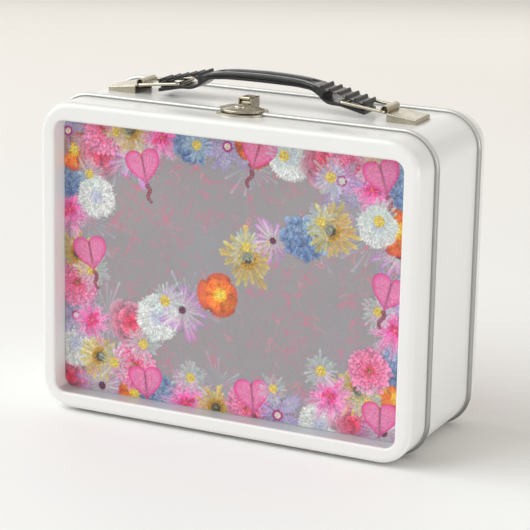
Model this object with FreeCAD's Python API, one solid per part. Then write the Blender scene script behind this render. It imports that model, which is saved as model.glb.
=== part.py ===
import FreeCAD, Part
import math
import os

# Hinged sheet-metal lunch box, in millimetres. +X is to the right, +Y to the rear, +Z up.
# The origin is on the standing plane, midway between the sides and between front and rear.

# Case
CASE_W = 215.0
CASE_H = 167.3
LID_D = 20.0
BAND_D = 58.0
REAR_D = 14.0
SHEET = 0.5
CORNER_R = 18.0
RIM_R = 3.4
BEAD_PROUD = 1.8
BEAD_W = 3.6
BEAD_ROUND = 1.3
SEAM_GAP = 0.4

# Recesses in the front and rear faces, and the printed panels in them
RECESS_HALF_W = 99.0
RECESS_LOW = 8.6
RECESS_HIGH = 157.2
RECESS_R = 6.0
RECESS_EDGE_R = 1.3
FRONT_RECESS_D = 10.8
REAR_RECESS_D = 6.0
PANEL_T = 0.4
PANEL_GAP = 0.3

# Neck inside the front seam and sleeve inside the rear seam
NECK_GAP = 0.4
NECK_OUT = 4.5
NECK_IN = 3.0
SLEEVE_D = 5.0

# Bottom hinges
HINGE_X = 62.0
HINGE_LEN = 24.0
HINGE_Z = 1.7
BARREL_R = 1.6
HINGE_PIN_R = 0.7
LEAF_T = 0.6
LEAF_REACH = 12.2
LEAF_SETBACK = 2.2
NOTCH_MARGIN = 0.6
KNUCKLE_GAP = 0.3
HINGE_RIVET_X = 7.0

# Latch
PLATE_T = 0.8
PLATE_HALF_W = 13.5
PLATE_HALF_D = 11.0
PLATE_SETBACK = 4.2
PLATE_CENTRE = 3.5
PEARL_R = 1.0
PEARLS = 15
HOUSING_HALF_W = 3.7
HOUSING_WALL = 0.6
HOUSING_H = 7.5
HOUSING_FRONT = 4.65
HOUSING_REAR = 14.4
HOUSING_WEB_FRONT = 10.8
LATCH_PIN_R = 0.7
LATCH_PIN_Y = 7.8
LATCH_PIN_Z = 4.5
LEVER_HALF_W = 2.8
LEVER_HUB_R = 1.7
LEVER_T = 0.8
LIP_LEN = 4.1
LIP_ROLL_R = 0.8
LIP_ANGLE = -45
DOME_R = 12.8
DOME_Y = 5.0
DOME_LOW = 1.7
DOME_HIGH = 4.7
DOME_T = 0.7
DOME_RIM_H = 0.8
DOME_REAR = 3.0
STRIKE_HALF_D = 10.0
STRIKE_CENTRE = 0.5
STRIKE_T = 0.6
STRIKE_RIM_W = 1.0
STRIKE_RIM_H = 1.1
STRIKE_SETBACK = 1.0
CATCH_R = 0.8
RUNNING_GAP = 0.05

# Handle, its brackets and its wire links
HANDLE_Y = 3.0
BRACKET_IN = 72.5
BRACKET_OUT = 88.5
BRACKET_HALF_W = 9.5
BRACKET_LOW_H = 2.6
BRACKET_HIGH_H = 4.4
BRACKET_T = 0.7
TUBE_X = 70.5
TUBE_H = 5.7
TUBE_R = 2.2
TUBE_BORE_R = 1.75
TUBE_HALF_L = 7.4
TAB_X = 80.0
TAB_HALF_W = 4.0
TAB_REACH = 3.2
WIRE_R = 0.85
WIRE_BEND = 1.8
LINK_H = 4.9
LINK_HALF_W = 9.4
LINK_RUN = 23.9
LINK_RISE = 2.8
JAW_END = 60.0
JAW_HALF_W = 8.0
JAW_CORNER_R = 2.0
GRIP_HALF_W = 6.8
RIB_R = 1.0
RIBS = 6
RIB_FIRST = 35.0
RIB_PITCH = 4.8
STOP_X = 57.6
STOP_HALF_T = 1.0
STOP_HALF_L = 6.0

# Rivets
RIVET_SHANK_R = 0.8
RIVET_HEAD_R = 1.6
RIVET_HEAD_H = 0.5
RIVET_TAIL_R = 1.3
RIVET_TAIL_H = 0.5
STRIKE_RIVET_X = (-4.2, 4.2)
LATCH_RIVET_X = 7.4
LATCH_RIVET_SETBACK = 8.4

# Levels and depths that follow from the driving dimensions
BASE_Z = BEAD_PROUD
TOP_Z = BASE_Z + CASE_H
FRONT_Y = -(LID_D + BAND_D + REAR_D) / 2
SEAM_Y = FRONT_Y + LID_D
REAR_SEAM_Y = SEAM_Y + BAND_D
REAR_Y = REAR_SEAM_Y + REAR_D
LID_EDGE_Y = SEAM_Y - SEAM_GAP
HINGE_Y = SEAM_Y - SEAM_GAP / 2

X_AXIS = FreeCAD.Vector(1, 0, 0)
Y_AXIS = FreeCAD.Vector(0, 1, 0)
Z_AXIS = FreeCAD.Vector(0, 0, 1)
TINY = 1e-4


def box(x_lo, x_hi, y_lo, y_hi, z_lo, z_hi):
    """A block between two corners."""
    corner = FreeCAD.Vector(x_lo, y_lo, z_lo)
    return Part.makeBox(x_hi - x_lo, y_hi - y_lo, z_hi - z_lo, corner)


def rod(start, axis, radius, length):
    """A round bar that starts at a point and runs along an axis."""
    return Part.makeCylinder(radius, length, FreeCAD.Vector(*start), axis)


def edges_at_depth(shape, y):
    """The edges that lie in the plane at depth y."""
    found = []
    for edge in shape.Edges:
        bounds = edge.BoundBox
        if abs(bounds.YMin - y) < TINY and abs(bounds.YMax - y) < TINY:
            found.append(edge)
    return found


def rounded_prism(half_w, z_lo, z_hi, radius, y_lo, y_hi):
    """A block along Y with four round corners."""
    block = box(-half_w, half_w, y_lo, y_hi, z_lo, z_hi)
    corners = []
    for edge in block.Edges:
        if edge.BoundBox.YLength > y_hi - y_lo - TINY:
            corners.append(edge)
    return block.makeFillet(radius, corners)


def case_prism(inset, y_lo, y_hi):
    """The case's outline, moved inwards by the inset, between two depths."""
    return rounded_prism(CASE_W / 2 - inset, BASE_Z + inset, TOP_Z - inset, CORNER_R - inset, y_lo, y_hi)


def case_ring(inset, thickness, y_lo, y_hi):
    """A hoop of sheet that follows the case's outline."""
    return case_prism(inset, y_lo, y_hi).cut(case_prism(inset + thickness, y_lo, y_hi))


def recess_prism(grow, y_lo, y_hi):
    """The outline of a face's recess, moved outwards by grow."""
    low = BASE_Z + RECESS_LOW - grow
    high = BASE_Z + RECESS_HIGH + grow
    return rounded_prism(RECESS_HALF_W + grow, low, high, RECESS_R + grow, y_lo, y_hi)


def pressed_tray(face_y, open_y, recess_d):
    """A pressed sheet tray: round-edged rim, recessed face, open towards open_y."""
    inward = math.copysign(1.0, open_y - face_y)

    def solid_form(inset):
        face = face_y + inward * inset
        floor = face_y + inward * (recess_d + PANEL_T + inset)
        form = case_prism(inset, min(face, open_y), max(face, open_y))
        form = form.makeFillet(RIM_R - inset, edges_at_depth(form, face))
        form = form.cut(recess_prism(inset, min(face, floor), max(face, floor)))
        mouth = []
        for edge in edges_at_depth(form, face):
            if (edge.BoundBox.XMax < RECESS_HALF_W + inset + TINY
                    and edge.BoundBox.XMin > -RECESS_HALF_W - inset - TINY):
                mouth.append(edge)
        return form.makeFillet(RECESS_EDGE_R - inset, mouth)

    return solid_form(0.0).cut(solid_form(SHEET))


def hinge_notch(x_centre):
    """The clearance round one hinge barrel in the sheet at the bottom seam."""
    half_l = HINGE_LEN / 2 + NOTCH_MARGIN
    reach = BARREL_R + NOTCH_MARGIN
    return box(x_centre - half_l, x_centre + half_l, HINGE_Y - reach, HINGE_Y + reach, -1.0, HINGE_Z + reach)


def cut_hinge_notches(shape):
    """Opens the sheet for both hinge barrels."""
    for side in (-1, 1):
        shape = shape.cut(hinge_notch(side * HINGE_X))
    return shape


def body_band():
    """The middle hoop, with the neck that the lid closes over."""
    band = case_ring(0.0, SHEET, SEAM_Y, REAR_SEAM_Y)
    neck_inset = SHEET + NECK_GAP
    step = case_ring(SHEET, NECK_GAP + SHEET, SEAM_Y, SEAM_Y + NECK_IN)
    neck = case_ring(neck_inset, SHEET, SEAM_Y - NECK_OUT, SEAM_Y)
    band = band.fuse([step, neck]).removeSplitter()
    band = cut_hinge_notches(band)
    for side in (-1, 1):
        for front_back in (-1, 1):
            band = band.cut(tab_slot(side, front_back))
    for x in latch_rivet_places():
        band = band.cut(rod((x, latch_rivet_y(), TOP_Z - 3.0), Z_AXIS, 0.8, 4.0))
    for x in hinge_rivet_places():
        band = band.cut(rod((x, case_rivet_y(), 0.0), Z_AXIS, RIVET_SHANK_R, 4.0))
    return band


def rear_shell():
    """The rear tray, crimped to the band, with a sleeve inside the band."""
    tray = pressed_tray(REAR_Y, REAR_SEAM_Y, REAR_RECESS_D)
    sleeve = case_ring(SHEET, SHEET, REAR_SEAM_Y - SLEEVE_D, REAR_SEAM_Y + 2.0)
    return tray.fuse(sleeve).removeSplitter()


def rim_bead(y_lo):
    """One rolled rim that stands proud of the case all round."""
    y_hi = y_lo + BEAD_W
    ring = case_prism(-BEAD_PROUD, y_lo, y_hi)
    ring = ring.makeFillet(BEAD_ROUND, edges_at_depth(ring, y_lo) + edges_at_depth(ring, y_hi))
    return ring.cut(case_prism(0.0, y_lo, y_hi))


def front_rim_beads():
    """The rolled rim behind the front seam, broken by the hinges: the long piece, then the short one."""
    bead = rim_bead(SEAM_Y)
    half_l = HINGE_LEN / 2 + NOTCH_MARGIN
    for side in (-1, 1):
        centre = side * HINGE_X
        bead = bead.cut(box(centre - half_l, centre + half_l, SEAM_Y - 1.0, SEAM_Y + BEAD_W + 1.0, -1.0, 3.0))
    return sorted(bead.Solids, key=lambda solid: -solid.Volume)


def rear_rim_bead():
    """The rolled rim over the rear seam."""
    return rim_bead(REAR_SEAM_Y)


def front_lid():
    """The front tray, which opens on the bottom hinges."""
    lid = pressed_tray(FRONT_Y, LID_EDGE_Y, FRONT_RECESS_D)
    lid = cut_hinge_notches(lid)
    for x in hinge_rivet_places():
        lid = lid.cut(rod((x, lid_rivet_y(), 0.0), Z_AXIS, RIVET_SHANK_R, 4.0))
    for x in STRIKE_RIVET_X:
        lid = lid.cut(rod((x, strike_rivet_y(), TOP_Z - 2.0), Z_AXIS, RIVET_SHANK_R, 4.0))
    return lid


def front_print_panel():
    """The thin printed sheet in the lid's recess."""
    face = FRONT_Y + FRONT_RECESS_D
    return recess_prism(-PANEL_GAP, face, face + PANEL_T)


def rear_print_panel():
    """The thin printed sheet in the rear recess."""
    face = REAR_Y - REAR_RECESS_D
    return recess_prism(-PANEL_GAP, face - PANEL_T, face)


# Rivets

def rivet(x, y, z_head, grip, up):
    """A round-headed rivet. The head is at z_head and the shank runs away from it through grip."""
    head = Part.makeSphere(RIVET_HEAD_R * 2, FreeCAD.Vector(0, 0, 0))
    cap_drop = RIVET_HEAD_R * 2 - RIVET_HEAD_H
    head.translate(FreeCAD.Vector(0, 0, -cap_drop))
    head = head.common(rod((0, 0, 0), Z_AXIS, RIVET_HEAD_R, RIVET_HEAD_H))
    shank = rod((0, 0, -grip), Z_AXIS, RIVET_SHANK_R, grip + RIVET_HEAD_H / 2)
    tail = rod((0, 0, -grip - RIVET_TAIL_H), Z_AXIS, RIVET_TAIL_R, RIVET_TAIL_H)
    solid = head.fuse([shank, tail]).removeSplitter()
    if not up:
        solid.rotate(FreeCAD.Vector(0, 0, 0), X_AXIS, 180)
    solid.translate(FreeCAD.Vector(x, y, z_head))
    return solid


def hinge_rivet_places():
    """Where along X the hinge rivets stand, left to right."""
    places = []
    for side in (-1, 1):
        for step in (-1, 1):
            places.append(side * HINGE_X + step * HINGE_RIVET_X)
    return places


def case_rivet_y():
    """The hinge rivets' depth on the band."""
    return HINGE_Y + LEAF_REACH - 4.0


def lid_rivet_y():
    """The hinge rivets' depth on the lid."""
    return HINGE_Y - LEAF_REACH + 4.0


def latch_rivet_places():
    """Where along X the latch plate's rivets stand."""
    return (-LATCH_RIVET_X, LATCH_RIVET_X)


def latch_rivet_y():
    """The latch plate's rivets' depth."""
    return SEAM_Y + LATCH_RIVET_SETBACK


def strike_rivet_y():
    """The strike's rivets' depth, ahead of the neck inside."""
    return SEAM_Y - NECK_OUT - RIVET_TAIL_R - 0.4


# Bottom hinges

def knuckle(x_lo, x_hi, bore_r):
    """One knuckle of a hinge barrel, before its leaf joins it."""
    barrel = rod((x_lo, HINGE_Y, HINGE_Z), X_AXIS, BARREL_R, x_hi - x_lo)
    bore = rod((x_lo - 1.0, HINGE_Y, HINGE_Z), X_AXIS, bore_r, x_hi - x_lo + 2.0)
    return barrel, bore


def hinge_leaf(x_centre, knuckle_spans, direction, bore_r, rivet_y):
    """A leaf under the case with its knuckles. direction is +1 for the band's and -1 for the lid's."""
    x_lo = x_centre - HINGE_LEN / 2
    x_hi = x_centre + HINGE_LEN / 2
    near = HINGE_Y + direction * LEAF_SETBACK
    far = HINGE_Y + direction * LEAF_REACH
    leaf = box(x_lo, x_hi, min(near, far), max(near, far), BASE_Z - LEAF_T, BASE_Z)
    bores = []
    for start, end in knuckle_spans:
        barrel, bore = knuckle(x_centre + start, x_centre + end, bore_r)
        web = box(x_centre + start, x_centre + end, min(HINGE_Y, near), max(HINGE_Y, near),
                  BASE_Z - LEAF_T, BASE_Z)
        leaf = leaf.fuse([barrel, web])
        bores.append(bore)
    for bore in bores:
        leaf = leaf.cut(bore)
    for step in (-1, 1):
        hole = rod((x_centre + step * HINGE_RIVET_X, rivet_y, 0.0), Z_AXIS, RIVET_SHANK_R, 3.0)
        leaf = leaf.cut(hole)
    return leaf.removeSplitter()


def case_leaf(side):
    """The band's leaf, with the two outer knuckles."""
    outer = HINGE_LEN / 2
    inner = HINGE_LEN / 6
    spans = [(-outer, -inner - KNUCKLE_GAP / 2), (inner + KNUCKLE_GAP / 2, outer)]
    return hinge_leaf(side * HINGE_X, spans, 1, HINGE_PIN_R, case_rivet_y())


def lid_leaf(side):
    """The lid's leaf, with the middle knuckle."""
    inner = HINGE_LEN / 6
    spans = [(-inner + KNUCKLE_GAP / 2, inner - KNUCKLE_GAP / 2)]
    return hinge_leaf(side * HINGE_X, spans, -1, HINGE_PIN_R + RUNNING_GAP, lid_rivet_y())


def hinge_pin(side):
    """The pin of one bottom hinge."""
    return rod((side * HINGE_X - HINGE_LEN / 2, HINGE_Y, HINGE_Z), X_AXIS, HINGE_PIN_R, HINGE_LEN)


# Latch

def oval_plate(half_w, half_d, y_centre, thickness):
    """A flat oval plate on the case's top."""
    rim = Part.Ellipse(FreeCAD.Vector(0, 0, 0), half_w, half_d).toShape()
    plate = Part.Face(Part.Wire(rim)).extrude(FreeCAD.Vector(0, 0, thickness))
    plate.translate(FreeCAD.Vector(0, SEAM_Y + y_centre, TOP_Z))
    return plate


def latch_base_plate():
    """The half-oval plate on the band that carries the latch, with a border of pearls."""
    plate = oval_plate(PLATE_HALF_W, PLATE_HALF_D, PLATE_CENTRE, PLATE_T)
    border_w = PLATE_HALF_W - PEARL_R
    border_d = PLATE_HALF_D - PEARL_R
    for count in range(PEARLS):
        angle = math.pi * (count + 0.5) / PEARLS
        x = border_w * math.cos(angle)
        y = SEAM_Y + PLATE_CENTRE + border_d * math.sin(angle)
        if abs(x) > HOUSING_HALF_W + PEARL_R + 0.2:
            plate = plate.fuse(Part.makeSphere(PEARL_R, FreeCAD.Vector(x, y, TOP_Z + PLATE_T)))
    plate = plate.cut(box(-20, 20, SEAM_Y - 20, SEAM_Y + PLATE_SETBACK, TOP_Z - 2, TOP_Z + 4))
    plate = plate.cut(box(-20, 20, SEAM_Y, SEAM_Y + 20, TOP_Z - 2, TOP_Z))
    for x in latch_rivet_places():
        plate = plate.cut(rod((x, latch_rivet_y(), TOP_Z - 1.0), Z_AXIS, RIVET_SHANK_R, 3.0))
    return plate.removeSplitter()


def latch_housing():
    """The upright channel that holds the latch's pin: two walls, a rear wall and a short roof."""
    low = TOP_Z + PLATE_T
    high = TOP_Z + HOUSING_H
    front = SEAM_Y + HOUSING_FRONT
    rear = SEAM_Y + HOUSING_REAR
    inner = HOUSING_HALF_W - HOUSING_WALL
    outside = box(-HOUSING_HALF_W, HOUSING_HALF_W, front, rear, low, high)
    crown = [edge for edge in outside.Edges
             if edge.BoundBox.YLength > 1.0 and edge.BoundBox.ZMin > high - TINY]
    outside = outside.makeFillet(0.5, crown)
    hollow = box(-inner, inner, front - 1.0, rear - HOUSING_WALL, low - 1.0, high - HOUSING_WALL)
    mouth = box(-inner, inner, front - 1.0, SEAM_Y + HOUSING_WEB_FRONT, low - 1.0, high + 1.0)
    shell = outside.cut(hollow).cut(mouth)
    return shell.cut(latch_pin())


def latch_pin():
    """The pin that the lever turns on."""
    start = (-HOUSING_HALF_W - 0.2, SEAM_Y + LATCH_PIN_Y, TOP_Z + LATCH_PIN_Z)
    return rod(start, X_AXIS, LATCH_PIN_R, 2 * HOUSING_HALF_W + 0.4)


def dome_form(radius, low, high):
    """A shallow round cap: an upright rim under a crown that is part of a ball."""
    rim_top = low + DOME_RIM_H
    rise = high - rim_top
    ball_r = (radius ** 2 + rise ** 2) / (2 * rise)
    mid_z = high - ball_r + math.sqrt(ball_r ** 2 - (radius / 2) ** 2)
    foot = FreeCAD.Vector(0, 0, low)
    outer = FreeCAD.Vector(radius, 0, low)
    shoulder = FreeCAD.Vector(radius, 0, rim_top)
    peak = FreeCAD.Vector(0, 0, high)
    crown = Part.Arc(shoulder, FreeCAD.Vector(radius / 2, 0, mid_z), peak).toShape()
    lines = [Part.LineSegment(a, b).toShape() for a, b in ((foot, outer), (outer, shoulder), (peak, foot))]
    face = Part.Face(Part.Wire(Part.sortEdges(lines + [crown])[0]))
    cap = face.revolve(FreeCAD.Vector(0, 0, 0), Z_AXIS, 360)
    cap.translate(FreeCAD.Vector(0, SEAM_Y + DOME_Y, 0))
    return cap


def latch_lever():
    """The lever: a half-round thumb cap over the lid, an arm to the hub, and a rolled lip above it."""
    low = TOP_Z + DOME_LOW
    high = TOP_Z + DOME_HIGH
    dome = dome_form(DOME_R, low, high)
    dome = dome.cut(dome_form(DOME_R - DOME_T, low - 1.0, high - DOME_T))
    dome = dome.cut(box(-20, 20, SEAM_Y + DOME_REAR, SEAM_Y + 20, low - 2, high + 2))
    dome = dome.cut(box(-20, 20, SEAM_Y - NECK_GAP, SEAM_Y + 20, low - 2, TOP_Z + BEAD_PROUD + 0.4))
    pin_y = SEAM_Y + LATCH_PIN_Y
    pin_z = TOP_Z + LATCH_PIN_Z
    hub = rod((-LEVER_HALF_W, pin_y, pin_z), X_AXIS, LEVER_HUB_R, 2 * LEVER_HALF_W)
    arm = box(-LEVER_HALF_W, LEVER_HALF_W, SEAM_Y + DOME_REAR - 1.0, pin_y, high - LEVER_T, high)
    lip = box(-LEVER_HALF_W, LEVER_HALF_W, pin_y - LIP_LEN, pin_y, pin_z - LEVER_T / 2, pin_z + LEVER_T / 2)
    roll = rod((-LEVER_HALF_W, pin_y - LIP_LEN, pin_z), X_AXIS, LIP_ROLL_R, 2 * LEVER_HALF_W)
    lip = lip.fuse(roll)
    lip.rotate(FreeCAD.Vector(0, pin_y, pin_z), X_AXIS, LIP_ANGLE)
    lever = dome.fuse([hub, arm, lip])
    bore = rod((-10, pin_y, pin_z), X_AXIS, LATCH_PIN_R + RUNNING_GAP, 20)
    return lever.cut(bore).removeSplitter()


def latch_strike():
    """The half-oval plate on the lid under the latch's cap, with a raised rim and a catch."""
    plate = oval_plate(PLATE_HALF_W, STRIKE_HALF_D, STRIKE_CENTRE, STRIKE_T)
    rim = oval_plate(PLATE_HALF_W, STRIKE_HALF_D, STRIKE_CENTRE, STRIKE_RIM_H)
    inside = oval_plate(PLATE_HALF_W - STRIKE_RIM_W, STRIKE_HALF_D - STRIKE_RIM_W,
                        STRIKE_CENTRE, STRIKE_RIM_H)
    catch = rod((-3.5, SEAM_Y - 2.6, TOP_Z + STRIKE_T - 0.2), X_AXIS, CATCH_R, 7.0)
    catch = catch.common(box(-4, 4, SEAM_Y - 5, SEAM_Y, TOP_Z, TOP_Z + 2))
    plate = plate.fuse([rim.cut(inside), catch])
    plate = plate.cut(box(-20, 20, SEAM_Y - STRIKE_SETBACK, SEAM_Y + 20, TOP_Z - 1, TOP_Z + 2))
    for x in STRIKE_RIVET_X:
        plate = plate.cut(rod((x, strike_rivet_y(), TOP_Z - 1.0), Z_AXIS, RIVET_SHANK_R, 3.0))
    return plate.removeSplitter()


# Handle brackets and links

def tab_slot(side, front_back):
    """The slot in the band for one bent tab of a handle bracket."""
    clearance = 0.15
    x_mid = side * TAB_X
    outer = HANDLE_Y + front_back * (BRACKET_HALF_W + clearance)
    inner = HANDLE_Y + front_back * (BRACKET_HALF_W - BRACKET_T - clearance)
    x_half = TAB_HALF_W + clearance
    return box(x_mid - x_half, x_mid + x_half, min(outer, inner), max(outer, inner), TOP_Z - 1.0, TOP_Z + 0.1)


def wedge(x_in, x_out, half_w, low_h, high_h):
    """A block whose top slopes down from the inner end to the outer end."""
    outline = [
        FreeCAD.Vector(x_in, 0, 0),
        FreeCAD.Vector(x_out, 0, 0),
        FreeCAD.Vector(x_out, 0, low_h),
        FreeCAD.Vector(x_in, 0, high_h),
        FreeCAD.Vector(x_in, 0, 0),
    ]
    face = Part.Face(Part.makePolygon(outline))
    solid = face.extrude(FreeCAD.Vector(0, 2 * half_w, 0))
    solid.translate(FreeCAD.Vector(0, HANDLE_Y - half_w, TOP_Z))
    return solid


def bracket_tab(front_back):
    """One tab that goes through the band and is bent flat inside it."""
    outer = HANDLE_Y + front_back * BRACKET_HALF_W
    inner = HANDLE_Y + front_back * (BRACKET_HALF_W - BRACKET_T)
    bent = HANDLE_Y + front_back * (BRACKET_HALF_W - TAB_REACH)
    x_lo = TAB_X - TAB_HALF_W
    x_hi = TAB_X + TAB_HALF_W
    under = TOP_Z - SHEET
    leg = box(x_lo, x_hi, min(outer, inner), max(outer, inner), under - BRACKET_T, TOP_Z + 0.5)
    foot = box(x_lo, x_hi, min(outer, bent), max(outer, bent), under - BRACKET_T, under)
    return leg.fuse(foot)


def handle_bracket(side):
    """A sloped sheet cap, open at its inner end, whose top is rolled into a tube for the link."""
    cap = wedge(BRACKET_IN, BRACKET_OUT, BRACKET_HALF_W, BRACKET_LOW_H, BRACKET_HIGH_H)
    crown = [edge for edge in cap.Edges if edge.BoundBox.ZMin > TOP_Z + 1.0]
    cap = cap.makeFillet(0.6, crown)
    hollow_w = BRACKET_HALF_W - BRACKET_T
    x_far = BRACKET_OUT - BRACKET_T
    hollow = wedge(BRACKET_IN - 1.0, x_far, hollow_w, BRACKET_LOW_H - BRACKET_T, BRACKET_HIGH_H - BRACKET_T)
    shell = cap.cut(hollow)
    tube_z = TOP_Z + TUBE_H
    y_lo = HANDLE_Y - TUBE_HALF_L
    tube = rod((TUBE_X, y_lo, tube_z), Y_AXIS, TUBE_R, 2 * TUBE_HALF_L)
    y_hi = HANDLE_Y + TUBE_HALF_L
    web_top = TOP_Z + BRACKET_HIGH_H - 0.1
    web = box(TUBE_X + 1.0, BRACKET_IN + 0.8, y_lo, y_hi, web_top - BRACKET_T, web_top)
    shell = shell.fuse([tube, web, bracket_tab(-1), bracket_tab(1)])
    bore = rod((TUBE_X, y_lo - 1.0, tube_z), Y_AXIS, TUBE_BORE_R, 2 * TUBE_HALF_L + 2.0)
    shell = shell.cut(bore).removeSplitter()
    if side < 0:
        shell = shell.mirror(FreeCAD.Vector(0, 0, 0), X_AXIS)
    return shell


def link_path():
    """The closed centre line of a wire link, laid flat with its outer run on the Y axis."""
    far = -math.hypot(LINK_RUN, LINK_RISE)
    half = LINK_HALF_W
    bend = WIRE_BEND
    corners = [(0, half, -1, -1), (far, half, 1, -1), (far, -half, 1, 1), (0, -half, -1, 1)]
    diagonal = bend * (1 - math.sqrt(0.5))
    points = []
    for x, y, x_step, y_step in corners:
        on_run = FreeCAD.Vector(x, y + y_step * bend, 0)
        middle = FreeCAD.Vector(x + x_step * diagonal, y + y_step * diagonal, 0)
        on_leg = FreeCAD.Vector(x + x_step * bend, y, 0)
        points.append((on_run, middle, on_leg))
    edges = []
    for index, (on_run, middle, on_leg) in enumerate(points):
        if index % 2:
            start, end = on_leg, on_run
        else:
            start, end = on_run, on_leg
        edges.append(Part.Arc(start, middle, end).toShape())
        after = points[(index + 1) % len(points)]
        next_start = after[0] if index % 2 else after[2]
        edges.append(Part.LineSegment(end, next_start).toShape())
    return Part.Wire(edges)


def handle_link(side):
    """A closed rectangular ring of wire between a bracket's tube and the handle's slot."""
    path = link_path()
    start = path.Edges[0].Vertexes[0].Point
    ring = Part.Wire(Part.Circle(start, Y_AXIS, WIRE_R).toShape())
    link = path.makePipeShell([ring], True, True)
    tilt = math.degrees(math.atan2(LINK_RISE, LINK_RUN))
    link.rotate(FreeCAD.Vector(0, 0, 0), Y_AXIS, tilt)
    link.translate(FreeCAD.Vector(TUBE_X, HANDLE_Y, TOP_Z + LINK_H))
    if side < 0:
        link = link.mirror(FreeCAD.Vector(0, 0, 0), X_AXIS)
    return link


def smooth_edge(points):
    """A smooth curve through points in the XZ plane, above the case's top."""
    curve = Part.BSplineCurve()
    curve.interpolate([FreeCAD.Vector(x, 0, TOP_Z + z) for x, z in points])
    return curve.toShape()


def straight_edge(start, end):
    """A straight edge between two points in the XZ plane, above the case's top."""
    first = FreeCAD.Vector(start[0], 0, TOP_Z + start[1])
    last = FreeCAD.Vector(end[0], 0, TOP_Z + end[1])
    return Part.LineSegment(first, last).toShape()


HANDLE_TOP = [(-60.0, 7.9), (-47.5, 10.9), (-35.0, 13.6), (-22.5, 15.9), (-9.0, 16.7), (0.0, 16.8)]
JAW_UNDER = [(60.0, 6.5), (50.0, 8.9), (37.5, 11.1)]
SLOT_END = [(37.5, 11.1), (36.0, 9.6), (37.5, 8.0)]
LOWER_JAW_TOP = [(37.5, 8.0), (46.6, 6.45), (59.0, 4.1)]
LOWER_JAW_UNDER = [(59.0, 2.0), (46.8, 4.8), (36.4, 6.8)]
GRIP_UNDER = [(36.4, 6.8), (33.2, 9.1), (30.2, 10.9), (24.0, 11.9), (12.0, 12.4), (0.0, 12.5)]


def mirrored(points):
    """The same outline points on the other side of the handle's middle, in the opposite order."""
    return [(-x, z) for x, z in reversed(points)]


def handle_outline():
    """The handle's side view: an arched grip whose ends are forked into two jaws."""
    top = HANDLE_TOP + mirrored(HANDLE_TOP)[1:]
    under = GRIP_UNDER + mirrored(GRIP_UNDER)[1:]
    edges = [smooth_edge(top)]
    edges.append(straight_edge(HANDLE_TOP[0], mirrored(JAW_UNDER)[-1]))
    edges.append(smooth_edge(under))
    for points in (JAW_UNDER, SLOT_END, LOWER_JAW_TOP, LOWER_JAW_UNDER):
        edges.append(smooth_edge(points))
        edges.append(smooth_edge(mirrored(points)))
    edges.append(straight_edge(LOWER_JAW_TOP[-1], LOWER_JAW_UNDER[0]))
    edges.append(straight_edge(mirrored(LOWER_JAW_TOP)[0], mirrored(LOWER_JAW_UNDER)[-1]))
    edges.append(straight_edge(mirrored(HANDLE_TOP)[-1], JAW_UNDER[0]))
    return Part.Face(Part.Wire(Part.sortEdges(edges)[0]))


def handle_plan():
    """The handle seen from above, as a tall prism: narrow grip, wide ends with round corners."""
    flare_in = 22.0
    flare_out = 36.0
    edges = []
    for x_sign in (-1, 1):
        for y_sign in (-1, 1):
            waist = FreeCAD.Vector(x_sign * flare_in, y_sign * GRIP_HALF_W, 0)
            shoulder = FreeCAD.Vector(x_sign * flare_out, y_sign * JAW_HALF_W, 0)
            lean = FreeCAD.Vector(x_sign * (flare_out - flare_in) / 2, 0, 0)
            flare = Part.BezierCurve()
            flare.setPoles([waist, waist + lean, shoulder - lean, shoulder])
            round_start = FreeCAD.Vector(x_sign * (JAW_END - JAW_CORNER_R), y_sign * JAW_HALF_W, 0)
            inset = JAW_CORNER_R * (1 - math.sqrt(0.5))
            round_mid = FreeCAD.Vector(x_sign * (JAW_END - inset), y_sign * (JAW_HALF_W - inset), 0)
            round_end = FreeCAD.Vector(x_sign * JAW_END, y_sign * (JAW_HALF_W - JAW_CORNER_R), 0)
            edges.append(flare.toShape())
            edges.append(Part.LineSegment(shoulder, round_start).toShape())
            edges.append(Part.Arc(round_start, round_mid, round_end).toShape())
        tip = FreeCAD.Vector(x_sign * JAW_END, JAW_HALF_W - JAW_CORNER_R, 0)
        edges.append(Part.LineSegment(tip, FreeCAD.Vector(tip.x, -tip.y, 0)).toShape())
        side = FreeCAD.Vector(flare_in, x_sign * GRIP_HALF_W, 0)
        edges.append(Part.LineSegment(side, FreeCAD.Vector(-side.x, side.y, 0)).toShape())
    face = Part.Face(Part.Wire(Part.sortEdges(edges)[0]))
    face.translate(FreeCAD.Vector(0, HANDLE_Y, TOP_Z))
    return face.extrude(FreeCAD.Vector(0, 0, 30))


def handle_top_height(x):
    """The height of the handle's upper line at x, between the points of its outline."""
    for (x_a, z_a), (x_b, z_b) in zip(HANDLE_TOP, HANDLE_TOP[1:]):
        if x_a <= -abs(x) <= x_b:
            return z_a + (z_b - z_a) * (-abs(x) - x_a) / (x_b - x_a)
    return HANDLE_TOP[-1][1]


def handle_grip():
    """The moulded handle, with ribbed upper jaws and a stop between the jaws at each end."""
    side_view = handle_outline().extrude(FreeCAD.Vector(0, 2 * JAW_HALF_W + 2, 0))
    side_view.translate(FreeCAD.Vector(0, HANDLE_Y - JAW_HALF_W - 1, 0))
    grip = side_view.common(handle_plan())
    half_l = JAW_HALF_W - 0.3
    pieces = []
    for side in (-1, 1):
        for count in range(RIBS):
            x = RIB_FIRST + count * RIB_PITCH
            z = TOP_Z + handle_top_height(x)
            pieces.append(rod((side * x, HANDLE_Y - half_l, z), Y_AXIS, RIB_R, 2 * half_l))
        x = side * STOP_X
        y_lo = HANDLE_Y - STOP_HALF_L
        y_hi = HANDLE_Y + STOP_HALF_L
        pieces.append(box(x - STOP_HALF_T, x + STOP_HALF_T, y_lo, y_hi, TOP_Z + 4.0, TOP_Z + 7.5))
    return grip.fuse(pieces).removeSplitter()


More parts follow.
